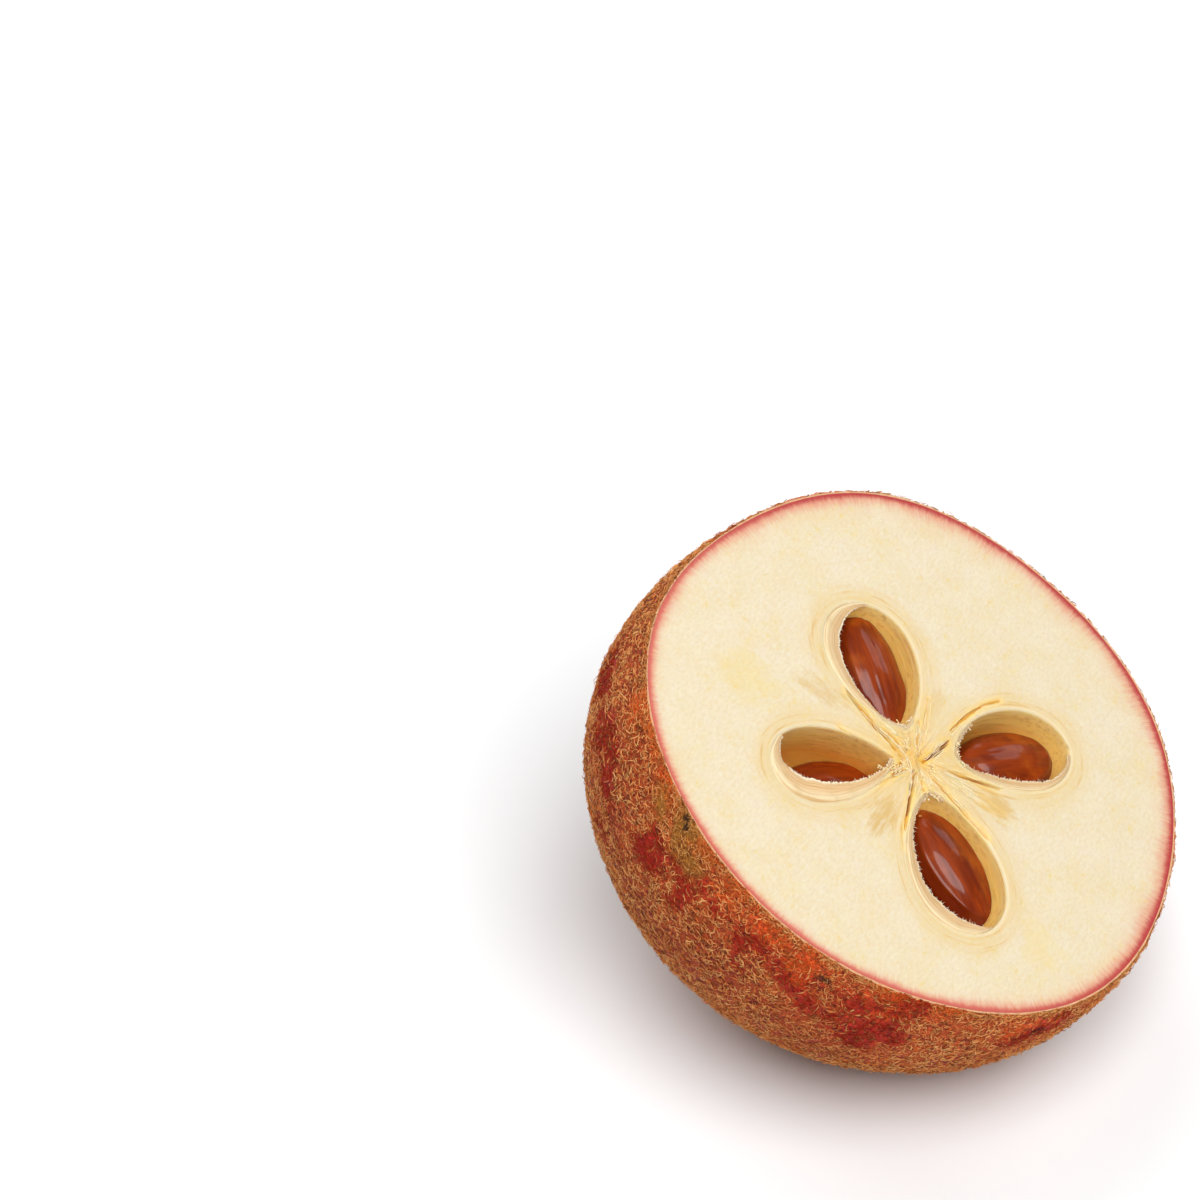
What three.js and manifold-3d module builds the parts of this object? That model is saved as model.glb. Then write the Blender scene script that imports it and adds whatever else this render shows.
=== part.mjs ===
// Half of a velvet apple, cut across its core and lying tilted on its velvety skin,
// with four seed hollows that radiate from the core and one loose seed in each.
//
// Units are millimetres. The fruit is built in its own frame: the cut face is z = 0, the skin
// bulges below it, and bearings on the face are degrees anticlockwise from +X. It is then leant
// over so that the cut face looks up and towards -Y, and stands on a small flat spot at z = 0.
import * as THREE from 'three';
import { mergeVertices } from 'three/addons/utils/BufferGeometryUtils.js';
import Module from 'manifold-3d';

const { clamp, degToRad } = THREE.MathUtils;

// ---- Driving dimensions of the fruit ----
const GIRTH_RADIUS = 42.4; // where the fruit is widest
const GIRTH_DEPTH = 9.2; // how far that is under the cut face
const UNDER_GIRTH = 37.7; // from there to the end of the fruit
const POLE_DEPTH = GIRTH_DEPTH + UNDER_GIRTH;
const FULLNESS = 2.1; // exponent of the skin's profile, 2 is an ellipse
const LEAN = degToRad(30.2); // how far the cut face tips towards -Y
const FLAT_SINK = 2.4; // height pressed flat where the fruit stands

// Uneven girth: the count, height and bearing of each set of lobes. They fade towards the pole.
const LOBES = [
  { count: 2, height: 0.78, bearing: -52 },
  { count: 3, height: 0.49, bearing: 13 },
  { count: 4, height: 0.32, bearing: -43 },
  { count: 5, height: 0.36, bearing: -32 },
];

// ---- Driving dimensions of the core ----
const CORE = new THREE.Vector3(-2.5, -0.8, 0); // where the seed hollows meet, on the cut face
const SEED_GAP = 0.3; // least space between a seed and its hollow

// Each hollow: its bearing, where it starts and ends along that bearing from the core, its width
// and its depth. Torn lining hangs in along one side, +1 where that is the anticlockwise one,
// for a greatest reach, and wraps round the outer end by an angle in radians.
// Each seed: its place along, across and under its hollow, how it is turned in the plane of the
// cut and pitched out of it, its size, and how much its two ends taper (0.5 is round).
const LOCULES = [
  {
    bearing: 59, start: 2.4, end: 24.6, width: 14.6, depth: 10.4,
    lip: { side: 1, reach: 2.8, wrap: 0.35 },
    seed: {
      along: 14.9, across: -1.9, under: 5.0, turn: -6, pitch: 0,
      length: 20.4, width: 9.8, thick: 6.8, tapers: [0.6, 0.5],
    },
  },
  {
    bearing: 143, start: 2.6, end: 24.0, width: 11.6, depth: 11.8,
    lip: { side: 1, reach: 3.2, wrap: 0.8 },
    seed: {
      along: 11.9, across: 0.3, under: 7.8, turn: -3, pitch: 6,
      length: 17.4, width: 8.6, thick: 6.0, tapers: [0.6, 0.55],
    },
  },
  {
    bearing: -128, start: 3.0, end: 26.6, width: 15.0, depth: 10.2,
    lip: { side: -1, reach: 1.7, wrap: 0.2 },
    seed: {
      along: 14.8, across: 2.2, under: 5.0, turn: 15, pitch: 0,
      length: 20.2, width: 10.2, thick: 7.0, tapers: [0.56, 0.62],
    },
  },
  {
    bearing: -36.5, start: 3.4, end: 26.2, width: 12.8, depth: 10.4,
    lip: { side: -1, reach: 1.6, wrap: -0.3 },
    seed: {
      along: 17.2, across: 0, under: 5.0, turn: 0.5, pitch: 0,
      length: 18.2, width: 10.2, thick: 7.0, tapers: [0.6, 0.5],
    },
  },
];
const LOCULE_TAPERS = [1.0, 0.5]; // pointed at the core, round at the outer end

// The lining's torn edge: how thick it is, how far its top lies under the cut, how much it droops
// at its free edge and how far it is rooted in the flesh. Its reach is `narrow` of the greatest
// at the core. Teeth that stand out and in by the bite run along its free edge.
const LIP = { thick: 0.45, top: 0.12, droop: 0.7, root: 0.7, narrow: 0.6, teeth: 19, bite: 0.22 };
const LIP_FROM = 0.6; // angle round the hollow's edge where the lining starts, from the core
const LIP_LEAST = 0.2; // least reach, at its ends

// Slits where the lining has pulled away from the flesh: the bearing and the distance from the
// core of each end, and the greatest width.
const SLITS = [
  { from: [124, 2.8], to: [91, 13.4], width: 0.8 },
  { from: [-38, 2.1], to: [-16, 6.6], width: 0.9 },
  { from: [-10, 7.7], to: [-8, 15.6], width: 0.6 },
  { from: [-166, 2.0], to: [-157, 10.0], width: 0.9 },
  { from: [-74, 2.6], to: [-61, 15.0], width: 0.6 },
];
const SLIT_DEPTH = 1.6;
const SLIT_TAPERS = [0.5, 0.7];

// Torn fibres that stand up round the core: the bearing of each, where it starts and ends from
// the core, and its width.
const FIBRES = [
  { bearing: 100, start: -0.6, end: 4.8, width: 1.3 },
  { bearing: 76, start: 0.4, end: 5.6, width: 0.9 },
  { bearing: 176, start: -0.4, end: 4.6, width: 1.2 },
  { bearing: 158, start: 0.8, end: 6.6, width: 0.9 },
  { bearing: -92, start: -0.4, end: 3.4, width: 1.2 },
  { bearing: -112, start: 0.6, end: 4.4, width: 0.9 },
  { bearing: -8, start: -0.4, end: 5.4, width: 1.2 },
  { bearing: -30, start: 0.6, end: 4.6, width: 0.9 },
  { bearing: 30, start: -0.6, end: 2.2, width: 1.4 },
];
const FIBRE_RISE = 0.55;
const FIBRE_TAPERS = [0.5, 1.0];

// ---- How finely round shapes are faceted: round the shape, then along it ----
const SKIN_FACETS = [66, 20];
const HOLLOW_FACETS = [24, 16];
const SEED_FACETS = [16, 13];
const FIBRE_FACETS = [8, 6];

const wasm = await Module();
wasm.setup();

// ---- From three.js geometry to a solid and back ----
function toSolid(geometry) {
  const bare = geometry.clone();
  bare.deleteAttribute('normal');
  bare.deleteAttribute('uv');
  const merged = mergeVertices(bare, 1e-3);
  return new wasm.Manifold(new wasm.Mesh({
    numProp: 3,
    vertProperties: new Float32Array(merged.attributes.position.array),
    triVerts: new Uint32Array(merged.index.array),
  }));
}

function toGeometry(solid) {
  const { vertProperties, triVerts } = solid.getMesh();
  const geometry = new THREE.BufferGeometry();
  geometry.setAttribute('position', new THREE.BufferAttribute(new Float32Array(vertProperties), 3));
  geometry.setIndex(new THREE.BufferAttribute(new Uint32Array(triVerts), 1));
  geometry.computeVertexNormals();
  return geometry;
}

function moveVertices(geometry, place) {
  const position = geometry.attributes.position;
  const point = new THREE.Vector3();
  for (let i = 0; i < position.count; i += 1) {
    place(point.fromBufferAttribute(position, i));
    position.setXYZ(i, point.x, point.y, point.z);
  }
  return geometry;
}

// ---- The skin's own form ----
function skinRadius(depth) {
  const reach = Math.abs(depth - GIRTH_DEPTH) / UNDER_GIRTH;
  return GIRTH_RADIUS * Math.max(0, 1 - reach ** FULLNESS) ** (1 / FULLNESS);
}

function unevenness(angle, depth) {
  const fade = 1 - (depth / POLE_DEPTH) ** 2;
  let swell = 0;
  for (const lobe of LOBES) {
    swell += lobe.height * Math.cos(lobe.count * (angle - degToRad(lobe.bearing)));
  }
  return 1 + (fade * swell) / GIRTH_RADIUS;
}

// The whole half before anything is cut into it, from its pole up to the cut face.
function bodyGeometry() {
  const [segments, rings] = SKIN_FACETS;
  const cutAngle = Math.PI / 2 + Math.asin(GIRTH_DEPTH / UNDER_GIRTH);
  const profile = [new THREE.Vector2(0, -POLE_DEPTH)];
  for (let ring = 1; ring <= rings; ring += 1) {
    const depth = GIRTH_DEPTH + UNDER_GIRTH * Math.cos((ring / rings) * cutAngle);
    profile.push(new THREE.Vector2(skinRadius(depth), -Math.max(0, depth)));
  }
  profile.push(new THREE.Vector2(0, 0));
  const geometry = new THREE.LatheGeometry(profile, segments).rotateX(Math.PI / 2);
  return moveVertices(geometry, (point) => {
    const swell = unevenness(Math.atan2(point.y, point.x), -point.z);
    point.x *= swell;
    point.y *= swell;
  });
}

// ---- Almond shapes: seeds, fibres, slits and the hollows ----
// How wide an almond is, from 0 to 1, at a point t of the way from its core end.
function almondWidth(t, [coreTaper, outerTaper]) {
  const widest = coreTaper / (coreTaper + outerTaper);
  return (t / widest) ** coreTaper * ((1 - t) / (1 - widest)) ** outerTaper;
}

// An almond that lies along +X, from x = 0 to its length, centred on that axis.
function almondGeometry(length, width, thick, tapers, [around, along]) {
  const geometry = new THREE.SphereGeometry(1, around, along).rotateZ(-Math.PI / 2);
  return moveVertices(geometry, (point) => {
    const t = clamp((1 + point.x) / 2, 0, 1);
    const ring = Math.hypot(point.y, point.z);
    const swell = ring < 1e-6 ? 0 : almondWidth(t, tapers) / ring;
    point.set(t * length, (point.y * swell * width) / 2, (point.z * swell * thick) / 2);
  });
}

// The frame of a hollow or fibre: +X runs out from the core along its bearing, and +Z is the
// fruit's own.
function bearingFrame(bearing) {
  const turn = new THREE.Matrix4().makeRotationZ(degToRad(bearing));
  return new THREE.Matrix4().makeTranslation(CORE).multiply(turn);
}

// ---- Seed hollows ----
function hollowSolid(locule) {
  const { start, end, width, depth, bearing } = locule;
  const geometry = almondGeometry(end - start, width, 2 * depth, LOCULE_TAPERS, HOLLOW_FACETS);
  return toSolid(geometry.translate(start, 0, 0).applyMatrix4(bearingFrame(bearing)));
}

function hollowHalfWidth(locule, x) {
  const t = clamp((x - locule.start) / (locule.end - locule.start), 0, 1);
  return (locule.width / 2) * almondWidth(t, LOCULE_TAPERS);
}

// A point on a hollow's edge at the cut. The angle is 0 at the core, pi at the outer end, and
// goes on round the far side.
function edgePoint(locule, angle) {
  const x = locule.start + ((locule.end - locule.start) * (1 - Math.cos(angle))) / 2;
  const side = angle > Math.PI ? -locule.lip.side : locule.lip.side;
  return new THREE.Vector2(x, side * hollowHalfWidth(locule, x));
}

// The same point moved into the hollow by an inset, or out of it where that is negative.
function insetPoint(locule, angle, inset) {
  const step = 0.01;
  const along = edgePoint(locule, angle + step).sub(edgePoint(locule, angle - step)).normalize();
  const inward = new THREE.Vector2(along.y, -along.x).multiplyScalar(locule.lip.side);
  return edgePoint(locule, angle).addScaledVector(inward, inset);
}

// The lining's torn edge: a thin drooping flap along one side of the hollow.
function lipSolid(locule) {
  const { reach, wrap } = locule.lip;
  const outer = [];
  const inner = [];
  for (let i = 0; i <= 2 * LIP.teeth; i += 1) {
    const share = i / (2 * LIP.teeth);
    const angle = LIP_FROM + share * (Math.PI + wrap - LIP_FROM);
    const broad = Math.min(1, LIP.narrow * (1 + share));
    const taper = Math.sqrt(1 - share ** 6);
    const bite = i % 2 ? LIP.bite : -LIP.bite;
    inner.push(insetPoint(locule, angle, Math.max(LIP_LEAST, reach * broad * taper + bite)));
    if (i % 2 === 0) outer.push(insetPoint(locule, angle, -LIP.root));
  }
  const outline = new THREE.Shape([...outer, ...inner.reverse()]);
  const geometry = new THREE.ExtrudeGeometry(outline, { depth: LIP.thick, bevelEnabled: false });
  moveVertices(geometry, (point) => {
    const isFree = Math.abs(point.y) < hollowHalfWidth(locule, point.x);
    point.z -= LIP.thick + LIP.top + (isFree ? LIP.droop : 0);
  });
  return toSolid(geometry.applyMatrix4(bearingFrame(locule.bearing)));
}

// ---- Slits and fibres round the core ----
function onFace([bearing, distance]) {
  return new THREE.Vector3(distance, 0, 0).applyMatrix4(bearingFrame(bearing));
}

function slitSolid(slit) {
  const start = onFace(slit.from);
  const along = onFace(slit.to).sub(start);
  const geometry = almondGeometry(
    along.length(), slit.width, 2 * SLIT_DEPTH, SLIT_TAPERS, FIBRE_FACETS,
  );
  return toSolid(geometry.rotateZ(Math.atan2(along.y, along.x)).translate(start.x, start.y, 0));
}

function fibreSolid({ bearing, start, end, width }) {
  const geometry = almondGeometry(end - start, width, 2 * FIBRE_RISE, FIBRE_TAPERS, FIBRE_FACETS);
  return toSolid(geometry.translate(start, 0, 0).applyMatrix4(bearingFrame(bearing)));
}

// ---- Seeds ----
// A seed in its hollow's frame, grown by a gap all round.
function seedGeometry({ seed }, gap) {
  const { length, width, thick, tapers } = seed;
  return almondGeometry(length + 2 * gap, width + 2 * gap, thick + 2 * gap, tapers, SEED_FACETS)
    .translate(-gap - length / 2, 0, 0)
    .rotateY(degToRad(-seed.pitch))
    .rotateZ(degToRad(seed.turn))
    .translate(seed.along, seed.across, -seed.under);
}

function seedBed(locule) {
  return toSolid(seedGeometry(locule, SEED_GAP).applyMatrix4(bearingFrame(locule.bearing)));
}

// ---- The flat spot that the fruit stands on ----
// How far the leant fruit reaches below the middle of its cut face.
function reachBelowFace(geometry) {
  const leant = geometry.clone().rotateX(LEAN);
  leant.computeBoundingBox();
  return -leant.boundingBox.min.z;
}

// The ground under the leant fruit, in the fruit's own frame.
function groundSolid(faceHeight) {
  const across = 4 * GIRTH_RADIUS;
  const deep = GIRTH_RADIUS;
  const geometry = new THREE.BoxGeometry(across, across, deep)
    .translate(0, 0, -deep / 2 - faceHeight)
    .rotateX(-LEAN);
  return toSolid(geometry);
}

// ---- The half itself ----
const flesh = new THREE.MeshStandardMaterial({ color: 0xf6e8c4, roughness: 0.6, metalness: 0 });
const seedCoat = new THREE.MeshStandardMaterial({ color: 0x8a3a15, roughness: 0.25, metalness: 0 });

function fruitMesh(body, faceHeight) {
  let solid = toSolid(body).subtract(groundSolid(faceHeight));
  for (const locule of LOCULES) solid = solid.subtract(hollowSolid(locule));
  for (const locule of LOCULES) solid = solid.add(lipSolid(locule)).subtract(seedBed(locule));
  for (const slit of SLITS) solid = solid.subtract(slitSolid(slit));
  for (const fibre of FIBRES) solid = solid.add(fibreSolid(fibre));
  const mesh = new THREE.Mesh(toGeometry(solid), flesh);
  mesh.name = 'fruit_half';
  return mesh;
}

function seedMesh(locule, index) {
  const mesh = new THREE.Mesh(toGeometry(toSolid(seedGeometry(locule, 0))), seedCoat);
  mesh.applyMatrix4(bearingFrame(locule.bearing));
  mesh.name = `seed_${index + 1}`;
  return mesh;
}

const body = bodyGeometry();
const leant = new THREE.Group();
leant.rotation.x = LEAN;
leant.position.z = reachBelowFace(body) - FLAT_SINK;
leant.add(fruitMesh(body, leant.position.z));
LOCULES.forEach((locule, index) => leant.add(seedMesh(locule, index)));

// The origin is on the ground, under the middle of the whole half.
const group = new THREE.Group();
group.add(leant);
const middle = new THREE.Box3().setFromObject(group, true).getCenter(new THREE.Vector3());
leant.position.x -= middle.x;
leant.position.y -= middle.y;

export default group;
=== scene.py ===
"""Half of a velvet apple, cut across its core, dressed for its final looks.

The cut flesh, the skin shell, the torn linings, the fibres at the core, the seeds and the fuzz are
modelled in millimetres in the fruit's own frame: the cut face is z = 0, the skin bulges below it,
and bearings on the face are degrees anticlockwise from +X. Each finished piece is then settled into
the frame's metres, leant over as the half lies.
"""

import math

import bpy
import numpy as np
from mathutils import Euler, Matrix, Vector, noise


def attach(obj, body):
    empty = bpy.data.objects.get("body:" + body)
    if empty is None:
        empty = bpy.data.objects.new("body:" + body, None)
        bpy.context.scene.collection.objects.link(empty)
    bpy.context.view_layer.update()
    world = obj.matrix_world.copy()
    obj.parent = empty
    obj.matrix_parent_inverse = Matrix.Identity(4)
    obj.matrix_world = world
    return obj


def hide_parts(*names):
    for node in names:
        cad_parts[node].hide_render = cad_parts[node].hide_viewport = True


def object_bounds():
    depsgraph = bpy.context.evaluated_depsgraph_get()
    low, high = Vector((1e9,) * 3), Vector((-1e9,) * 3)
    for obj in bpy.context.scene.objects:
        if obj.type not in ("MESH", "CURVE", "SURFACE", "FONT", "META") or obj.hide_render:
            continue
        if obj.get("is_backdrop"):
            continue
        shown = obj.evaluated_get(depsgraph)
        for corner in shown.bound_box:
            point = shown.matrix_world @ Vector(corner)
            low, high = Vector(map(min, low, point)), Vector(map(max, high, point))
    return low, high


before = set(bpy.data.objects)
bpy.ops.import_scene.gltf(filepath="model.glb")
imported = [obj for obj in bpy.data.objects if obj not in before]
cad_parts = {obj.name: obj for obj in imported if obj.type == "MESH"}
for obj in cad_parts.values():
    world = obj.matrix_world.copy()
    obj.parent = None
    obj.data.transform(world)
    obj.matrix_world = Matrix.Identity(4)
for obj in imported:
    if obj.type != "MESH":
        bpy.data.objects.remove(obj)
cad_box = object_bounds()

# ---- Where the fruit lies in the frame ----
MM = 0.001
LEAN = math.radians(30.2)
FACE_CENTRE = Vector((-0.03, -5.09, 45.07))  # mm, the middle of the cut face
SETTLED = Matrix.Scale(MM, 4) @ Matrix.Translation(FACE_CENTRE) @ Matrix.Rotation(LEAN, 4, "X")

# ---- Driving dimensions of the fruit, mm ----
GIRTH_RADIUS = 42.4
GIRTH_DEPTH = 9.2
UNDER_GIRTH = 37.7
POLE_DEPTH = GIRTH_DEPTH + UNDER_GIRTH
FULLNESS = 2.1
LOBES = [(2, 0.78, -52), (3, 0.49, 13), (4, 0.32, -43), (5, 0.36, -32)]  # count, height, bearing
FUZZ_LOFT = 0.3  # the fuzz stands about this far off the skin
SKIN_THICK = 0.34
INTO_SKIN = 0.1
CORE = np.array((-2.5, -0.8))

# Each hollow: bearing, start and end from the core, width, depth, and how both taper at its core end.
# Its lining: its side, where on the edge it begins and how far it wraps past the outer end (radians),
# and how far its lip reaches in at even steps. Its seed: place, turn and size in the hollow's frame.
HOLLOWS = [
    dict(bearing=59, start=4.6, end=24.6, width=14.6, depth=10.4, taper=0.75, deep=0.6,
         side=1, begin=-0.5, wrap=0.35,
         lip=(0.1, 0.1, 0.15, 0.3, 1.3, 2.4, 2.7, 2.8, 2.3, 1.2, 0.1),
         seed=dict(along=15.3, across=-2.2, under=5.0, turn=-3.5, pitch=0,
                   length=20.8, width=9.8, thick=6.8, tapers=(0.6, 0.5), ridge=0.3, wrinkle=0.14)),
    dict(bearing=143, start=4.2, end=24.0, width=11.6, depth=12.6, taper=0.8, deep=0.35,
         side=1, begin=0.1, wrap=0.8,
         lip=(0.3, 0.4, 1.1, 2.3, 3.3, 3.7, 3.8, 3.6, 3.2, 1.5, 0.1),
         seed=dict(along=11.0, across=0.3, under=8.0, turn=-3, pitch=-3,
                   length=17.8, width=8.6, thick=6.0, tapers=(0.6, 0.55))),
    dict(bearing=-128, start=5.2, end=26.6, width=15.0, depth=10.2, taper=0.75, deep=0.6,
         side=-1, begin=-0.5, wrap=0.35,
         lip=(0.3, 0.3, 0.3, 0.4, 0.9, 2.0, 2.7, 3.1, 3.0, 2.2, 0.1),
         seed=dict(along=14.9, across=2.6, under=5.0, turn=17, pitch=0,
                   length=20.2, width=10.2, thick=7.0, tapers=(0.56, 0.62))),
    dict(bearing=-36.5, start=6.5, end=26.2, width=12.8, depth=10.4, taper=0.65, deep=0.5,
         side=-1, begin=-1.0, wrap=-0.2,
         lip=(0.1, 0.1, 0.1, 0.15, 0.7, 1.7, 2.0, 1.7, 0.9, 0.5, 0.0),
         seed=dict(along=17.2, across=0.0, under=5.0, turn=0.5, pitch=0,
                   length=18.2, width=10.2, thick=7.0, tapers=(0.6, 0.5))),
]
OUTER_TAPER = 0.5  # of width and depth at the outer end of every hollow

# Slits and amber lines beside the linings: three places (bearing, distance from the core) that each
# one runs through, its greatest width and its depth.
SLITS = [
    ((130, 2.5), (103, 6.4), (91, 13.4), 0.55, 1.8),
    ((-38, 2.1), (-24, 4.0), (-16, 6.6), 0.7, 2.0),
    ((-10, 7.7), (-7, 11.7), (-9, 15.5), 0.24, 0.45),
    ((-166, 2.0), (-160, 5.2), (-157, 10.0), 0.6, 1.8),
    ((-70, 4.0), (-63, 9.0), (-61, 14.0), 0.26, 0.7),
    ((-106, 3.4), (-101, 7.0), (-100, 11.0), 0.18, 0.35),
    ((138, 4.4), (124, 8.6), (117, 12.4), 0.16, 0.3),
]

# Creases round the core: the places each runs through, its width, depth and amber stain.
CREASES = [
    (((88, 13.4), (93, 9.5), (100, 6.6), (110, 4.3), (137, 2.2)), 0.34, 0.45, 0.9),
    (((95, 6.4), (96, 4.1), (104, 1.8)), 0.3, 0.3, 0.8),
    (((117, 12.4), (122, 9.3), (129, 6.4), (140, 4.1)), 0.26, 0.16, 0.42),
    (((161, 15.8), (164, 11.6), (167, 7.8), (176, 3.4)), 0.28, 0.16, 0.4),
    (((167, 5.6), (171, 3.2)), 0.32, 0.3, 0.8),
    (((149, 7.1), (157, 6.3), (158, 4.6), (155, 2.7)), 0.4, 0.2, 0.7),
    (((-157, 4.0), (-158, 6.7), (-158, 9.6), (-157, 12.1)), 0.3, 0.3, 0.7),
    (((-160, 11.9), (-158, 13.7), (-156, 15.5)), 0.22, 0.14, 0.4),
    (((-108, 3.4), (-102, 5.7), (-101, 8.2), (-100, 11.3), (-99, 14.5)), 0.34, 0.22, 0.55),
    (((-68, 3.2), (-67, 4.6), (-65, 6.1), (-64, 9.6), (-62, 13.0)), 0.3, 0.3, 0.6),
    (((-53, 1.2), (-28, 2.8), (-21, 4.2), (-18, 6.0)), 0.34, 0.4, 0.9),
    (((-9, 8.1), (-8, 10.3), (-8, 12.7), (-9, 16.2), (-12, 19.0)), 0.24, 0.2, 0.75),
    (((27, 1.7), (34, 3.5), (31, 5.8)), 0.24, 0.2, 0.7),
    (((19, 3.0), (22, 6.5), (23, 10.3)), 0.3, 0.12, 0.35),
    (((140, 2.1), (169, 2.5)), 0.28, 0.4, 0.95),
    (((-159, 2.8), (-158, 4.3)), 0.32, 0.5, 0.95),
    (((-126, 2.8), (-123, 4.4)), 0.32, 0.25, 0.7),
    (((-140, 3.9), (-136, 5.5)), 0.28, 0.2, 0.6),
    (((-85, 5.5), (-83, 9.0), (-82, 13.0)), 0.22, 0.08, 0.25),
    (((-75, 7.5), (-76, 11.0), (-78, 14.5)), 0.22, 0.08, 0.3),
]
PALE_PITH = ((44, 1.4), (161, 0.7), (-156, 2.1))  # the raised pith in the middle

# ---- Camera, fitted to the photograph's view ----
CAMERA_AT = Vector((-0.3136, -0.1461, 0.3570))
CAMERA_AZIMUTH = -58.32
CAMERA_ELEVATION = 40.0
CAMERA_LENS = 100

chance = np.random.default_rng(7)
FAR = 1e9  # stands for no distance found yet


# ---------------------------------------------------------------- modelling helpers
def added(name):
    """The primitive just added, by its own name."""
    piece = bpy.context.object
    piece.name = piece.data.name = name
    return piece


def fresh():
    """Deselects everything, as a new primitive is selected all over."""
    if bpy.context.object and bpy.context.object.mode != "OBJECT":
        bpy.ops.object.mode_set(mode="OBJECT")
    bpy.ops.object.select_all(action="DESELECT")


def points_of(piece):
    points = np.empty(len(piece.data.vertices) * 3)
    piece.data.vertices.foreach_get("co", points)
    return points.reshape(-1, 3)


def put_points(piece, points):
    piece.data.vertices.foreach_set("co", np.ascontiguousarray(points).ravel())
    piece.data.update()


def finish_with(piece, kind, **settings):
    """Adds a modifier with these settings and applies it."""
    modifier = piece.modifiers.new(kind.title(), kind)
    for name, value in settings.items():
        setattr(modifier, name, value)
    bpy.context.view_layer.objects.active = piece
    bpy.ops.object.modifier_apply(modifier=modifier.name)


def edit(piece):
    fresh()
    bpy.context.view_layer.objects.active = piece
    piece.select_set(True)
    bpy.ops.object.mode_set(mode="EDIT")


def face_outward(piece):
    edit(piece)
    bpy.ops.mesh.select_all(action="SELECT")
    bpy.ops.mesh.normals_make_consistent(inside=False)
    bpy.ops.object.mode_set(mode="OBJECT")


def keep_value(piece, name, values):
    """Keeps a number or a vector for each point, which a material reads."""
    kind, key = ("FLOAT", "value") if values.ndim == 1 else ("FLOAT_VECTOR", "vector")
    attribute = piece.data.attributes.new(name, kind, "POINT")
    attribute.data.foreach_set(key, values.astype(np.float32).ravel())


def settle(piece, material, smooth=50):
    """Lays a finished piece in the frame, with its material and its body."""
    piece.data.transform(SETTLED)
    piece.data.materials.clear()
    piece.data.materials.append(material)
    fresh()
    piece.select_set(True)
    bpy.context.view_layer.objects.active = piece
    bpy.ops.object.shade_smooth_by_angle(angle=math.radians(smooth))
    piece.select_set(False)
    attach(piece, "root")
    return piece


def joined_mesh(name, points, faces):
    """A piece of many small shapes, from one array of points and one of triangles."""
    mesh = bpy.data.meshes.new(name)
    mesh.vertices.add(len(points))
    mesh.vertices.foreach_set("co", points.astype(np.float32).ravel())
    mesh.loops.add(faces.size)
    mesh.loops.foreach_set("vertex_index", faces.astype(np.int32).ravel())
    mesh.polygons.add(len(faces))
    mesh.polygons.foreach_set("loop_start", np.arange(0, faces.size, 3, dtype=np.int32))
    mesh.update(calc_edges=True)
    piece = bpy.data.objects.new(name, mesh)
    bpy.context.scene.collection.objects.link(piece)
    return piece


def tube_faces(sides, rings):
    """The triangles round a tube whose points are numbered ring by ring."""
    faces = []
    for low in range(0, (rings - 1) * sides, sides):
        for side in range(sides):
            after = (side + 1) % sides
            faces += [(low + side, low + after, low + after + sides)]
            faces += [(low + side, low + after + sides, low + side + sides)]
    return faces


def faces_of_all(one, count, each):
    """The triangles of many like shapes, from those of the first and its number of points."""
    return (np.array(one)[None] + each * np.arange(count)[:, None, None]).reshape(-1, 3)


def perlin(points, size, seed=0.0):
    """Smooth noise, about -1 to 1, at points in mm."""
    return np.array([noise.noise(Vector(p) / size + Vector((seed, seed, seed))) for p in points])


def ramp(x, low, high):
    """0 below low, 1 above high, smooth between."""
    t = np.clip((x - low) / (high - low), 0, 1)
    return t * t * (3 - 2 * t)


# ---------------------------------------------------------------- the fruit's form
def skin_radius(depth):
    reach = np.clip(np.abs(depth - GIRTH_DEPTH) / UNDER_GIRTH, 0, 1)
    return GIRTH_RADIUS * (1 - reach**FULLNESS) ** (1 / FULLNESS)


def swell(angle, depth):
    """How far the uneven girth stands out or in, mm."""
    lobes = sum(high * np.cos(count * (angle - math.radians(at))) for count, high, at in LOBES)
    return lobes * (1 - np.clip(depth / POLE_DEPTH, 0, 1) ** 2)


def rim_radius(angle, depth=0.0):
    return skin_radius(depth) * (1 + swell(angle, depth) / GIRTH_RADIUS)


def flesh_radius(angle, depth=0.0):
    """The side of the flesh, which reaches a little way into the skin."""
    return rim_radius(angle, depth) - FUZZ_LOFT - SKIN_THICK + INTO_SKIN


def almond_width(t, tapers):
    t = np.clip(t, 0, 1)
    core_taper, outer_taper = tapers
    widest = core_taper / (core_taper + outer_taper)
    return (t / widest) ** core_taper * ((1 - t) / (1 - widest)) ** outer_taper


def turned(points, degrees, at=(0, 0)):
    """Turns points about the fruit's axis and moves them over the face."""
    c, s = math.cos(math.radians(degrees)), math.sin(math.radians(degrees))
    out = points.copy()
    out[:, 0] = points[:, 0] * c - points[:, 1] * s + at[0]
    out[:, 1] = points[:, 0] * s + points[:, 1] * c + at[1]
    return out


def off_segment(spots, start, side):
    """How far spots on the face are from the line that runs along side from start."""
    offset = spots - start
    share = np.clip(offset @ side / (side @ side), 0, 1)
    return np.hypot(*(offset - share[:, None] * side).T)


def in_hollow(points, hollow):
    """Points seen from a hollow's own frame, +X out from the core along it."""
    moved = points.copy()
    moved[:, :2] -= CORE
    return turned(moved, -hollow["bearing"])


def on_face(bearing, distance):
    a = math.radians(bearing)
    return CORE + distance * np.array((math.cos(a), math.sin(a)))


def hollow_width(hollow, t):
    """Half of a hollow's width at the cut, t of the way out from the core."""
    return hollow["width"] / 2 * almond_width(t, (hollow["taper"], OUTER_TAPER))


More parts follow.
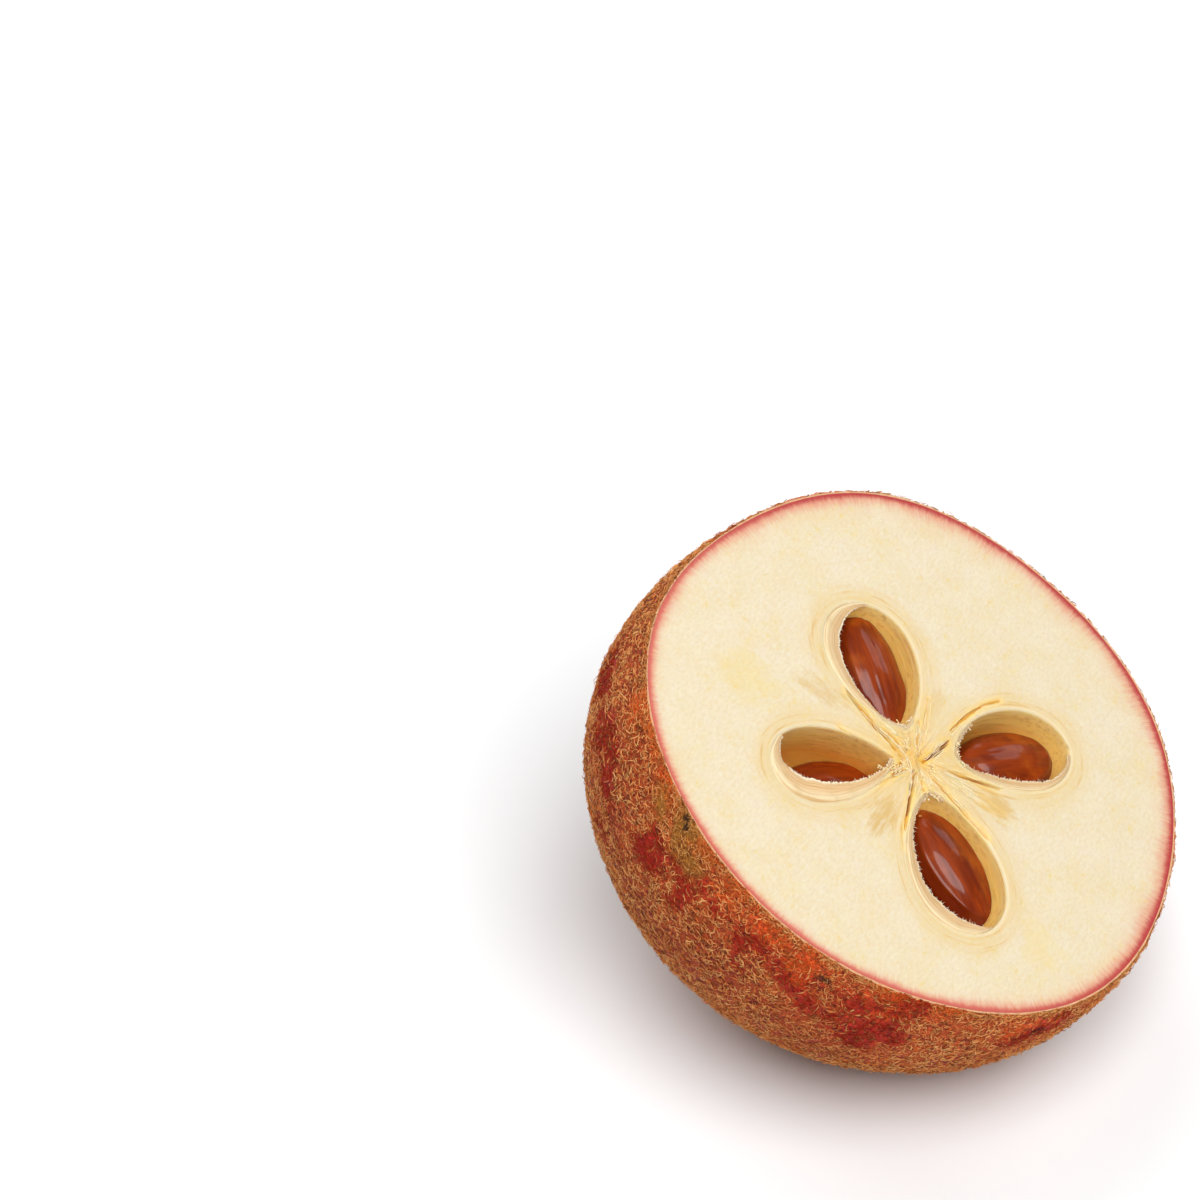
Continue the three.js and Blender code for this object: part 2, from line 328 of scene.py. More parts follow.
def edge_curve(hollow, angle):
    """Points on a hollow's edge in its own frame. 0 is at the core, pi at the outer end."""
    share = (1 - np.cos(angle)) / 2
    x = hollow["start"] + (hollow["end"] - hollow["start"]) * share
    side = np.where((angle > math.pi) | (angle < 0), -1.0, 1.0) * hollow["side"]
    return np.stack([x, side * hollow_width(hollow, share)], -1)


def edge_inward(hollow, angle):
    step = 0.01
    along = edge_curve(hollow, angle + step) - edge_curve(hollow, angle - step)
    along /= np.linalg.norm(along, axis=1, keepdims=True)
    return np.stack([along[:, 1], -along[:, 0]], -1) * hollow["side"]


# ---------------------------------------------------------------- cutters for the flesh
COLLAR = 0.45  # how far a hollow's rim is rounded over
OVER_CUT = 3.0  # how far the cutters stand above the cut


def almond_ball(name, segments, rings):
    """A unit ball with its poles on X, to be shaped into an almond."""
    fresh()
    bpy.ops.mesh.primitive_uv_sphere_add(segments=segments, ring_count=rings, radius=1)
    ball = added(name)
    ball.data.transform(Matrix.Rotation(math.pi / 2, 4, "Y"))
    return ball


def hollow_cutter(hollow):
    """The space of one hollow. Its sides flare out at the cut, so the flesh has a soft rim."""
    ball = almond_ball("hollow_cutter", 112, 72)
    unit = points_of(ball)
    t = (1 + unit[:, 0]) / 2
    around = np.arctan2(unit[:, 2], unit[:, 1])
    around -= 0.45 * np.sin(2 * around)  # crowds the rings near the cut
    length = hollow["end"] - hollow["start"]
    wide = almond_width(t, (hollow["taper"], OUTER_TAPER))
    sideways = np.cos(around)
    up = np.sin(around)
    x = t * length
    y = sideways * wide * hollow["width"] / 2
    deep = almond_width(t, (hollow["deep"], OUTER_TAPER))
    z = np.where(up < 0, up * deep * hollow["depth"], up * OVER_CUT)
    flare = np.where(z > -COLLAR, COLLAR - np.sqrt(np.clip(COLLAR**2 - (z + COLLAR) ** 2, 0, None)), 0)
    flare = np.where(z >= 0, COLLAR, flare)
    outward_x = np.clip((t - 0.5) * 2, -1, 1) ** 7
    y += np.sign(y) * flare * np.sqrt(1 - outward_x**2) * np.minimum(1, wide * 3)
    x += outward_x * flare
    points = np.stack([x + hollow["start"], y, z], -1)
    put_points(ball, turned(points, hollow["bearing"], CORE))
    return ball


def slit_cutter(slit):
    """A narrow spindle bent through three places on the face."""
    first, middle, last, width, depth = slit
    start, through, end = on_face(*first), on_face(*middle), on_face(*last)
    pull = 2 * through - (start + end) / 2
    ball = almond_ball("slit_cutter", 12, 26)
    unit = points_of(ball)
    t = ((1 + unit[:, 0]) / 2)[:, None]
    path = (1 - t) ** 2 * start + 2 * t * (1 - t) * pull + t**2 * end
    along = 2 * (1 - t) * (pull - start) + 2 * t * (end - pull)
    along /= np.linalg.norm(along, axis=1, keepdims=True)
    across = np.stack([-along[:, 1], along[:, 0]], -1)
    path += across * unit[:, 1:2] * width / 2
    put_points(ball, np.column_stack([path, unit[:, 2] * depth]))
    return ball


# ---------------------------------------------------------------- the cut flesh
FACE_CELLS = 256
FACE_EVEN = 0.39  # the rest of the radius crowds the cells at the core
BODY_RINGS = (0.5, 1.4, 3, 6, 10, 15, 21, 27, 32)


def face_disc(square):
    """Moves the points of a square grid, -1 to 1, onto the cut face."""
    x, y = square[:, 0], square[:, 1]
    wide = np.abs(x) >= np.abs(y)
    signed = np.where(wide, x, y)
    ratio = np.where(wide, y, x) / np.where(np.abs(signed) < 1e-9, 1, signed)
    angle = np.where(wide, math.pi / 4 * ratio, math.pi / 2 - math.pi / 4 * ratio)
    angle = np.where(signed < 0, angle + math.pi, angle)
    share = np.abs(signed)
    share = FACE_EVEN * share + (1 - FACE_EVEN) * share**3
    radius = share * flesh_radius(angle)
    return np.stack([radius * np.cos(angle), radius * np.sin(angle), np.zeros(len(x))], -1)


def flesh_solid():
    fresh()
    bpy.ops.mesh.primitive_grid_add(x_subdivisions=FACE_CELLS, y_subdivisions=FACE_CELLS, size=2)
    flesh = added("cut_flesh")
    put_points(flesh, face_disc(points_of(flesh)))
    edit(flesh)
    bpy.ops.mesh.select_all(action="SELECT")
    bpy.ops.mesh.region_to_loop()
    reached = 0.0
    for depth in BODY_RINGS:
        drop = (0, 0, reached - depth)
        bpy.ops.mesh.extrude_edges_move(TRANSFORM_OT_translate={"value": drop})
        reached = depth
    bpy.ops.mesh.edge_face_add()
    bpy.ops.object.mode_set(mode="OBJECT")
    points = points_of(flesh)
    below = points[:, 2] < -1e-6
    angle = np.arctan2(points[below, 1], points[below, 0])
    depth = -points[below, 2]
    radius = flesh_radius(angle, depth)
    points[below, 0] = radius * np.cos(angle)
    points[below, 1] = radius * np.sin(angle)
    put_points(flesh, points)
    face_outward(flesh)
    return flesh


def nearest_hollow(points):
    """For each point: its distance from the nearest hollow's edge, negative inside, and its place
    in that hollow's frame."""
    best = np.full(len(points), FAR)
    grain = np.zeros((len(points), 3))
    for index, hollow in enumerate(HOLLOWS):
        local = in_hollow(points, hollow)
        curve = edge_curve(hollow, np.linspace(0, 2 * math.pi, 241)[:-1])
        along = np.roll(curve, -1, 0) - curve
        distance = np.full(len(points), FAR)
        for corner, side in zip(curve, along):
            distance = np.minimum(distance, off_segment(local[:, :2], corner, side))
        t = (local[:, 0] - hollow["start"]) / (hollow["end"] - hollow["start"])
        inside = (np.abs(local[:, 1]) < hollow_width(hollow, t)) & (t > 0) & (t < 1)
        signed = np.where(inside, -distance, distance)
        closer = signed < best
        best[closer] = signed[closer]
        grain[closer] = local[closer] + (0, 0, index * 40)
    return best, grain


def away_from(points, places):
    """How far points are, over the face, from a line through these places."""
    corners = [on_face(*place) for place in places]
    nearest = np.full(len(points), FAR)
    for start, end in zip(corners, corners[1:]):
        nearest = np.minimum(nearest, off_segment(points[:, :2], start, end - start))
    return nearest


MIDDLE_DIP, PITH_RISE = 0.75, 0.55  # mm, of the core's middle and of the pale pith in it


def face_relief(points):
    """How far the cut stands up or dips at points, how amber it is, and how far off a crease it is,
    in shares of the crease's width."""
    from_core = points[:, :2] - CORE
    distance = np.hypot(*from_core.T)
    bearing = np.arctan2(from_core[:, 1], from_core[:, 0])
    polar = np.column_stack([np.cos(bearing) * 4, np.sin(bearing) * 4, distance * 0.16])
    streaks = 1 - 2.6 * np.abs(perlin(polar, 0.5, 3.1))
    fine = 1 - 2.6 * np.abs(perlin(polar * (1, 1, 2), 0.24, 5.7))
    lumps = perlin(points, 3.2, 1.7) * 0.05 + perlin(points, 0.9, 5.3) * 0.02
    fibres = streaks * (0.06 * (1 - ramp(distance, 4, 15)) + 0.1 * (1 - ramp(distance, 1, 5)))
    fibres += fine * 0.035 * (1 - ramp(distance, 2, 9))
    pith = np.exp(-((away_from(points, PALE_PITH) / 0.6) ** 2))
    middle = -MIDDLE_DIP * (1 - ramp(distance, 0.8, 4.2)) + PITH_RISE * pith
    beside = np.full(len(points), 9.0)
    stain = np.zeros(len(points))
    creased = np.zeros(len(points))
    wander = perlin(points, 1.1, 9.4) * 0.16 + perlin(points, 0.4, 4.4) * 0.05
    for places, width, depth, strength in CREASES:
        share = np.abs(away_from(points, places) + wander) / width
        creased = np.maximum(creased, np.exp(-((share / 0.75) ** 2)) * depth * 2)
        stain = np.maximum(stain, np.exp(-((share / 2.5) ** 2)) * strength)
        beside = np.minimum(beside, share)
    return lumps + fibres + middle - creased, stain * (1 - 0.5 * pith), beside


RELIEF_FADES, STAIN_FADES = 1.2, 0.8  # mm down the walls of the hollows
FLAT_RIM = 1.0  # mm beside the skin where the cut stays level


def cut_flesh():
    flesh = flesh_solid()
    cutters = [hollow_cutter(hollow) for hollow in HOLLOWS] + [slit_cutter(slit) for slit in SLITS]
    for cutter in cutters:
        face_outward(cutter)
        finish_with(flesh, "BOOLEAN", operation="DIFFERENCE", solver="MANIFOLD", object=cutter)
        bpy.data.objects.remove(cutter)

    points = points_of(flesh)
    from_core = points[:, :2] - CORE
    radius = np.hypot(points[:, 0], points[:, 1])
    angle = np.arctan2(points[:, 1], points[:, 0])
    to_skin = rim_radius(angle) - FUZZ_LOFT - radius
    edge, grain = nearest_hollow(points)
    deep = np.clip(-points[:, 2], 0, None)

    rise, stain, beside = face_relief(points)
    points[:, 2] += rise * np.exp(-deep / RELIEF_FADES) * (to_skin > FLAT_RIM)
    put_points(flesh, points)

    girth = np.column_stack([np.cos(angle) * 41, np.sin(angle) * 41, to_skin * 0.22])
    keep_value(flesh, "stain", stain * np.exp(-deep / STAIN_FADES))
    keep_value(flesh, "beside", beside)
    keep_value(flesh, "girth_mm", girth)
    keep_value(flesh, "edge_mm", edge)
    keep_value(flesh, "deep_mm", deep)
    keep_value(flesh, "to_skin_mm", to_skin)
    keep_value(flesh, "grain", grain)
    keep_value(flesh, "face_mm", np.column_stack([from_core, deep]))
    return flesh


# ---------------------------------------------------------------- the skin
def on_ground(points, clearance=0.0):
    """Presses what would be under the ground flat on it. Points are in the fruit's frame."""
    lean = np.array(Matrix.Rotation(LEAN, 3, "X"))
    stood = points @ lean.T + np.array(FACE_CENTRE)
    stood[:, 2] = np.maximum(stood[:, 2], clearance)
    return (stood - np.array(FACE_CENTRE)) @ lean


def skin_surface():
    """The outer skin, open at the cut."""
    fresh()
    bpy.ops.mesh.primitive_uv_sphere_add(segments=300, ring_count=150, radius=1)
    skin = added("velvet_skin")
    edit(skin)
    bpy.ops.mesh.select_all(action="SELECT")
    cut = GIRTH_DEPTH / UNDER_GIRTH
    bpy.ops.mesh.bisect(plane_co=(0, 0, cut), plane_no=(0, 0, 1), clear_outer=True)
    bpy.ops.object.mode_set(mode="OBJECT")
    unit = points_of(skin)
    angle = np.arctan2(unit[:, 1], unit[:, 0])
    depth = GIRTH_DEPTH - UNDER_GIRTH * unit[:, 2]
    radius = rim_radius(angle, depth) - FUZZ_LOFT
    points = np.stack([radius * np.cos(angle), radius * np.sin(angle), -depth], -1)
    outward = points / np.linalg.norm(points, axis=1, keepdims=True)
    bumps = perlin(points, 5.5, 2.3) * 0.16 + perlin(points, 1.6, 8.1) * 0.1
    points += outward * bumps[:, None]
    points[:, 2] = np.minimum(points[:, 2], 0.03)
    put_points(skin, on_ground(points))
    return skin


def thickened(skin):
    """Gives the skin its thickness, inwards."""
    finish_with(skin, "SOLIDIFY", thickness=SKIN_THICK, offset=-1)
    points = points_of(skin)
    put_points(skin, on_ground(points))
    face_outward(skin)
    keep_value(skin, "deep_mm", np.clip(-points[:, 2], 0, None))
    return skin


# ---------------------------------------------------------------- fuzz
HAIR_SIDES = 3
FUZZ = [  # name, hairs, length, thickness, lift off the skin, colour tint, crowding at the cut
    ("fuzz_tan", 12300, 1.35, 0.15, 0.34, 0.45, 1.0),
    ("fuzz_straw", 12300, 1.25, 0.135, 0.44, 0.85, 1.0),
    ("fuzz_rust", 12300, 1.3, 0.15, 0.26, 0.1, 1.0),
    ("fuzz_long", 12300, 1.6, 0.135, 0.4, 0.6, 0.0),
    ("fuzz_short", 12300, 0.8, 0.15, 0.4, 0.5, 16.0),
]
RIM_BAND = 0.9  # mm below the cut where hairs may be crowded
KNIFE_TRIM = 0.12  # mm over the cut, above which the knife trimmed the hairs
OFF_GROUND = 0.02  # mm that the hairs under the fruit keep off the ground


def hair_roots(skin, count, crowding):
    """Random places over the skin, more of them at the cut, and the skin's own normals there."""
    points = points_of(skin)
    skin.data.calc_loop_triangles()
    corners = np.empty(len(skin.data.loop_triangles) * 3, dtype=np.int32)
    skin.data.loop_triangles.foreach_get("vertices", corners)
    a, b, c = points[corners.reshape(-1, 3)].transpose(1, 0, 2)
    normal = np.cross(b - a, c - a)
    area = np.linalg.norm(normal, axis=1)
    normal /= np.maximum(area, 1e-12)[:, None]
    middle_depth = -(a + b + c)[:, 2] / 3
    weight = area * (1 + crowding * (middle_depth < RIM_BAND))
    pick = np.searchsorted(np.cumsum(weight) / weight.sum(), chance.random(count))
    u, v = chance.random(count), chance.random(count)
    over = u + v > 1
    u[over], v[over] = 1 - u[over], 1 - v[over]
    at = a[pick] + (b - a)[pick] * u[:, None] + (c - a)[pick] * v[:, None]
    return at, normal[pick]


def unit_rows(rows):
    return rows / np.maximum(np.linalg.norm(rows, axis=1, keepdims=True), 1e-9)


def fuzz_piece(skin, name, count, length, thick, lift, tint, crowding):
    """Short curled hairs that lie over one another, each a thin three-sided spike."""
    root, normal = hair_roots(skin, count, crowding)
    kept = root[:, 2] < -0.05
    root, normal = root[kept], normal[kept]
    count = len(root)
    spin = unit_rows(np.cross(normal, chance.normal(size=(count, 3))))
    across = np.cross(normal, spin)
    curl = chance.normal(0, 1.25, count)[:, None]
    long = length * chance.uniform(0.55, 1.3, count)[:, None]
    rise = lift * chance.uniform(0.4, 1.6, count)[:, None]
    stations = [root - normal * 0.05]
    for turn, climb, part in ((0, 1.5, 0.3), (0.9, 0.5, 0.37), (1.9, -0.35, 0.33)):
        way = spin * np.cos(curl * turn) + across * np.sin(curl * turn) + normal * rise * climb
        stations.append(stations[-1] + unit_rows(way) * long * part)
    width = thick * chance.uniform(0.7, 1.25, count)[:, None] / 2
    side_a = unit_rows(np.cross(stations[3] - stations[0], normal))
    rings = []
    for index, taper in enumerate((0.9, 1.0, 0.75)):
        ahead = unit_rows(stations[index + 1] - stations[max(index - 1, 0)])
        side_a = unit_rows(side_a - ahead * (side_a * ahead).sum(1, keepdims=True))
        side_b = np.cross(ahead, side_a)
        for corner in range(HAIR_SIDES):
            turn = 2 * math.pi * corner / HAIR_SIDES
            round_way = side_a * math.cos(turn) + side_b * math.sin(turn)
            rings.append(stations[index] + width * taper * round_way)
    rings.append(stations[3])
    each = len(rings)
    points = np.stack(rings, 1).reshape(-1, 3)
    points[:, 2] = np.minimum(points[:, 2], KNIFE_TRIM)
    last = 2 * HAIR_SIDES
    one = [(0, 2, 1)] + tube_faces(HAIR_SIDES, 3)
    one += [(last + corner, last + (corner + 1) % HAIR_SIDES, each - 1) for corner in range(HAIR_SIDES)]
    piece = joined_mesh(name, on_ground(points, OFF_GROUND), faces_of_all(one, count, each))
    shade = np.clip(tint + chance.normal(0, 0.16, count), 0, 1)
    keep_value(piece, "tint", np.repeat(shade, each))
    keep_value(piece, "whim", np.repeat(chance.random(count), each))
    keep_value(piece, "rim", np.repeat(1 - ramp(-root[:, 2], 0.3, 1.1), each))
    keep_value(piece, "tip", np.tile([0, 0, 0, 0.35, 0.35, 0.35, 0.7, 0.7, 0.7, 1.0], count))
    return piece


# ---------------------------------------------------------------- torn linings
LINING_CELLS = (260, 16)
LINING_THICK = 0.16
FRAYS = 150  # on each lining
FRAY_THICK = 0.06


def lining_angle(hollow, share):
    return hollow["begin"] + share * (math.pi + hollow["wrap"] - hollow["begin"])


def lining_reach(hollow, share):
    """How far the lining hangs over the hollow, from its core end to its outer end."""
    return np.interp(share, np.linspace(0, 1, len(hollow["lip"])), hollow["lip"])


def torn_lining(index, hollow):
    fresh()
    cells_along, cells_across = LINING_CELLS
    bpy.ops.mesh.primitive_grid_add(x_subdivisions=cells_along, y_subdivisions=cells_across, size=2)
    lining = added(f"torn_lining_{index + 1}")
    square = points_of(lining)
    share = (1 + square[:, 0]) / 2
    across = (1 + square[:, 1]) / 2
    angle = lining_angle(hollow, share)
    wave = np.column_stack([share * 9, np.full(len(share), index * 5.0), np.zeros(len(share))])
    sway = perlin(wave, 1.0)
    teeth = perlin(wave * (14, 1, 1), 1.0, 2.2) * 0.22 + perlin(wave * (34, 1, 1), 1.0, 4.4) * 0.14
    reach = lining_reach(hollow, share) * (1 + 0.08 * sway)
    ragged = 1 + 1.2 * (1 - ramp(share, 0.2, 0.36))
    inset = across * (np.maximum(reach, 0.3) + 0.1) - 0.1 + teeth * ragged * across**4
    place = edge_curve(hollow, angle) + edge_inward(hollow, angle) * inset[:, None]
    ridge = perlin(np.column_stack([share * 3, across * 5.5, np.full(len(share), index * 3.0)]), 1.0)
    crest = -0.1 - (0.34 + 0.12 * sway) * (1 - ramp(across, 0, 0.2))
    droop = -0.8 * across**1.6 * np.minimum(1, reach / 2.4)
    height = crest + droop + 0.1 * ridge
    points = np.column_stack([place, height])
    put_points(lining, turned(points, hollow["bearing"], CORE))
    own = np.full(len(share), index * 7.0)
    keep_value(lining, "grain", np.column_stack([share * 22, across * 3, own]))
    keep_value(lining, "across", across)
    finish_with(lining, "SOLIDIFY", thickness=LINING_THICK, offset=-1)
    return lining


def lining_frays():
    """Tiny pale hairs that stand along the torn edges, over the seeds."""
    roots, ways = [], []
    for hollow in HOLLOWS:
        share = chance.uniform(0.02, 0.97, FRAYS)
        angle = lining_angle(hollow, share)
        inward = edge_inward(hollow, angle)
        place = edge_curve(hollow, angle) + inward * (lining_reach(hollow, share) - 0.05)[:, None]
        height = -0.8 * np.minimum(1, lining_reach(hollow, share) / 2.4) - 0.12
        local = np.column_stack([place, height])
        roots.append(turned(local, hollow["bearing"], CORE))
        tilt = inward + chance.normal(0, 0.7, (FRAYS, 2))
        ways.append(turned(np.column_stack([tilt, chance.uniform(-0.1, 0.9, FRAYS)]), hollow["bearing"]))
    root, way = np.concatenate(roots), unit_rows(np.concatenate(ways))
    count = len(root)
    long = 0.12 + 0.6 * chance.random(count)[:, None] ** 2
    side = unit_rows(np.cross(way, (0.2, 0.3, 0.9)))
    up = np.cross(way, side)
    corners = [root + FRAY_THICK * (side * math.cos(a) + up * math.sin(a)) for a in (0, 2.1, 4.2)]
    points = np.stack([*corners, root + way * long], 1).reshape(-1, 3)
    one = [(0, 2, 1), (0, 1, 3), (1, 2, 3), (2, 0, 3)]
    frays = joined_mesh("lining_frays", points, faces_of_all(one, count, 4))
    keep_value(frays, "across", np.ones(len(points)))
    keep_value(frays, "grain", points)
    return frays


# Crumbs of torn pith: the places they lie along, how many, their size, how far down, how orange
CRUMBS = [
    (((65, 4.2), (67, 4.9), (67, 5.9)), 18, 0.28, 0.1, 0.6),
    (((72, 5.4), (60, 5.0), (48, 5.2)), 14, 0.26, 0.12, 0.3),
    (((77, 6.2), (70, 6.0)), 5, 0.22, 0.7, 1.0),
    (((149, 7.1), (157, 6.3), (158, 4.6), (155, 2.7)), 40, 0.3, 0.05, 0.5),
    (((140, 5.2), (147, 4.4), (152, 5.0)), 8, 0.26, 0.1, 0.5),
    (((167, 5.6), (171, 3.2)), 16, 0.3, 0.05, 0.4),
    (((-22, 8.4), (-28, 7.0), (-40, 6.8), (-52, 7.6)), 34, 0.28, 0.1, 0.25),
    (((-118, 6.6), (-128, 5.4), (-138, 6.6)), 22, 0.26, 0.1, 0.3),
    (((-126, 2.8), (-140, 3.9), (-136, 5.5)), 14, 0.24, 0.05, 0.3),
    (((104, 1.8), (80, 2.6), (62, 3.8)), 16, 0.28, 0.02, 0.2),
    (((-53, 1.4), (-80, 2.6), (-110, 3.0)), 16, 0.28, 0.02, 0.25),
    (((-138, 7.9), (-137, 8.2)), 3, 0.3, 2.1, 1.0),
]
STRANDS = 380
STRANDS_WITHIN = 9.5  # mm from the core
STRAND_SIDES = STRAND_RINGS = 5


def along_line(places, share):
    """Points spread along the line through these places, and which way it runs there."""
    corners = np.array([on_face(*place) for place in places])
    spot = share * (len(corners) - 1)
    before = np.minimum(spot.astype(int), len(corners) - 2)
    step = (corners[1:] - corners[:-1])[before]
    return corners[before] + step * (spot - before)[:, None], unit_rows(step)


def torn_strands(creases):
    """Thin strands that lie in and beside creases: the points of each one, and how orange it is."""
    run = np.linspace(-1, 1, STRAND_RINGS)[:, None]
    turn = np.linspace(0, 2 * math.pi, STRAND_SIDES, endpoint=False)
    for _ in range(STRANDS):
        places = creases[chance.integers(len(creases))][0]
        at, way = along_line(places, chance.random(1) ** 1.3)
        across = np.column_stack([-way[:, 1], way[:, 0]])
        middle = at + across * chance.normal(0, 0.42)
        half = chance.uniform(0.5, 1.9)
        bend = chance.normal(0, 0.14)
        line = middle + way * run * half + across * bend * (1 - run**2)
        flat = np.column_stack([line, np.zeros(STRAND_RINGS)])
        stray = np.hypot(*(middle - CORE).T)[0] > STRANDS_WITHIN
        if stray or np.any(nearest_hollow(flat)[0] < 0.3):
            continue
        height = face_relief(flat)[0]
        thick = chance.uniform(0.035, 0.1) * np.sqrt(1.04 - run[:, 0] ** 2)
        rings = []
        for place, low, wide in zip(line, height, thick):
            ring = np.outer(np.cos(turn) * wide, across[0])
            rings.append(np.column_stack([place + ring, low + 0.03 + np.sin(turn) * wide]))
        yield np.concatenate(rings), np.clip(chance.normal(0.25, 0.2), 0, 1)


def torn_crumbs(unit):
    """Crumbs shaped from the points of a small ball: the points of each one, and how orange it is."""
    for places, count, size, down, orange in CRUMBS:
        at = along_line(places, chance.random(count))[0]
        for place in at + chance.normal(0, 0.22, at.shape):
            stretch = size / 2 * chance.uniform(0.5, 1.2, 3)
            lump = unit * stretch * (1 + 0.35 * perlin(unit + chance.uniform(0, 50, 3), 0.9)[:, None])
            lump = turned(lump, chance.uniform(0, 360), place)
            lump[:, 2] -= down + chance.normal(0, 0.06)
            yield lump, np.clip(chance.normal(orange, 0.12), 0, 1)


def core_fibres():
    """Strands and crumbs of torn pith in and beside the creases round the core."""
    tube = tube_faces(STRAND_SIDES, STRAND_RINGS)
    tube += [(0, side + 1, side) for side in range(1, STRAND_SIDES - 1)]
    top = (STRAND_RINGS - 1) * STRAND_SIDES
    tube += [(top, top + side, top + side + 1) for side in range(1, STRAND_SIDES - 1)]
    near_core = [crease for crease in CREASES if crease[0][0][1] < 14]
    ball = almond_ball("crumb", 7, 5)
    ball.data.calc_loop_triangles()
    corners = [tuple(triangle.vertices) for triangle in ball.data.loop_triangles]
    unit = points_of(ball)
    bpy.data.objects.remove(ball)
    all_points, all_faces, warmth = [], [], []
    for shapes, faces in ((torn_strands(near_core), tube), (torn_crumbs(unit), corners)):
        for points, orange in shapes:
            all_faces.append(np.array(faces) + len(warmth))
            all_points.append(points)
            warmth += [orange] * len(points)
    piece = joined_mesh("core_fibres", np.concatenate(all_points), np.concatenate(all_faces))
    keep_value(piece, "warmth", np.array(warmth))
    return piece


# ---------------------------------------------------------------- seeds
RIDGE, SUNK_BELLY = 0.17, 0.13  # mm, a seed's raised edge and the lower field inside it


def plump_seed(index, hollow):
    seed = hollow["seed"]
    ball = almond_ball(f"plump_seed_{index + 1}", 112, 84)
    unit = points_of(ball)
    t = (1 + unit[:, 0]) / 2
    around = np.arctan2(unit[:, 2], unit[:, 1])
    wide = almond_width(t, seed["tapers"])
    x = (t - 0.5) * seed["length"]
    y = np.cos(around) * wide * seed["width"] / 2
    z = np.sin(around) * wide * seed["thick"] / 2
    own = np.column_stack([x, y, z])
    margin = np.sqrt((2 * t - 1) ** 2 * np.sin(around) ** 2 + np.cos(around) ** 2)
    ridge = RIDGE * np.exp(-(((margin - 0.8) / 0.05) ** 2)) - SUNK_BELLY * (1 - ramp(margin, 0.62, 0.76))
    ridge *= seed.get("ridge", 1.0)
    drawn = own * (0.05, 0.62, 0.62) + (0, 0, index * 9.0)
    wrinkle = perlin(drawn, 0.5, 6.0) * seed.get("wrinkle", 0.06)
    lumps = perlin(own + (index * 20.0, 0, 0), 3.4) * 0.14
    outward = unit_rows(np.column_stack([own[:, 0] * 0.15, own[:, 1], own[:, 2] * 1.6]))
    own += outward * (ridge + wrinkle + lumps - 0.12)[:, None]
    keep_value(ball, "grain", own + (0, 0, index * 30.0))
    keep_value(ball, "along", t)
    keep_value(ball, "margin", margin)
    turn = Euler((0, math.radians(-seed["pitch"]), math.radians(seed["turn"])), "XYZ").to_matrix()
    own = own @ np.array(turn).T + (seed["along"], seed["across"], -seed["under"])
    put_points(ball, turned(own, hollow["bearing"], CORE))
    return ball


# ---------------------------------------------------------------- material helpers
class Shader:
    """A short way to wire up one node tree."""

    def __init__(self, tree):
        self.tree = tree

    def node(self, kind, inputs=None, **settings):
        made = self.tree.nodes.new(kind)
        for name, value in settings.items():
            setattr(made, name, value)
        for name, value in (inputs or {}).items():
            self.give(made.inputs[name], value)
        return made

    def give(self, socket, value):
        if isinstance(value, bpy.types.NodeSocket):
            self.tree.links.new(value, socket)
        elif isinstance(value, bpy.types.Node):
            self.tree.links.new(value.outputs[0], socket)
        else:
            socket.default_value = value

    def math(self, operation, a, b=0.0, clamp=False):
        return self.node("ShaderNodeMath", {0: a, 1: b}, operation=operation, use_clamp=clamp).outputs[0]

    def times(self, a, b):
        return self.math("MULTIPLY", a, b)

    def vector_math(self, operation, a, b, key=1):
        """Works on two vectors, or on one and a number where key is "Scale"."""
        return self.node("ShaderNodeVectorMath", {0: a, key: b}, operation=operation)

    def parts(self, vector):
        """The X, Y and Z of a vector."""
        return self.node("ShaderNodeSeparateXYZ", {0: vector}).outputs

    def join(self, x, y, z):
        return self.node("ShaderNodeCombineXYZ", {0: x, 1: y, 2: z})

    def place(self):
        """The place on the piece, in metres."""
        return self.node("ShaderNodeTexCoord").outputs["Object"]

    def rescale(self, value, low, high, to_low=0.0, to_high=1.0, smooth=True):
        kind = "SMOOTHSTEP" if smooth else "LINEAR"
        made = self.node("ShaderNodeMapRange", interpolation_type=kind)
        for name, given in zip(("Value", "From Min", "From Max", "To Min", "To Max"),
                               (value, low, high, to_low, to_high)):
            self.give(made.inputs[name], given)
        return made.outputs[0]

    def noise(self, vector, scale, detail=3.0, rough=0.55, stretch=None):
        if stretch:
            vector = self.node("ShaderNodeMapping", {"Vector": vector, "Scale": stretch}).outputs[0]
        made = self.node("ShaderNodeTexNoise", {"Vector": vector, "Scale": scale, "Detail": detail,
                                                "Roughness": rough})
        return made.outputs["Fac"]

    def blend(self, share, a, b, mode="MIX"):
        made = self.node("ShaderNodeMix", data_type="RGBA", blend_type=mode, clamp_factor=True)
        for socket, given in ((made.inputs[0], share), (made.inputs[6], a), (made.inputs[7], b)):
            self.give(socket, given)
        return made.outputs[2]

    def value_of(self, name, output="Fac"):
        return self.node("ShaderNodeAttribute", attribute_name=name).outputs[output]

    def bump(self, height, strength, distance):
        return self.node("ShaderNodeBump", {"Height": height, "Strength": strength,
                                            "Distance": distance}).outputs[0]

    def group(self, tree, **inputs):
        made = self.node("ShaderNodeGroup")
        made.node_tree = tree
        for name, value in inputs.items():
            self.give(made.inputs[name.replace("_", " ")], value)
        return made


def colour(red, green, blue):
    """A colour as it looks on the screen, 0 to 255, in the renderer's linear values."""
    shares = (red / 255, green / 255, blue / 255)
    return (*(((c + 0.055) / 1.055) ** 2.4 if c > 0.0393 else c / 12.92 for c in shares), 1.0)


FACE_LIGHT = 1.27  # how bright the studio light makes the cut face


def seen(red, green, blue):
    """A colour that looks so on the cut face under the studio light."""
    return (*(c / FACE_LIGHT for c in colour(red, green, blue)[:3]), 1.0)


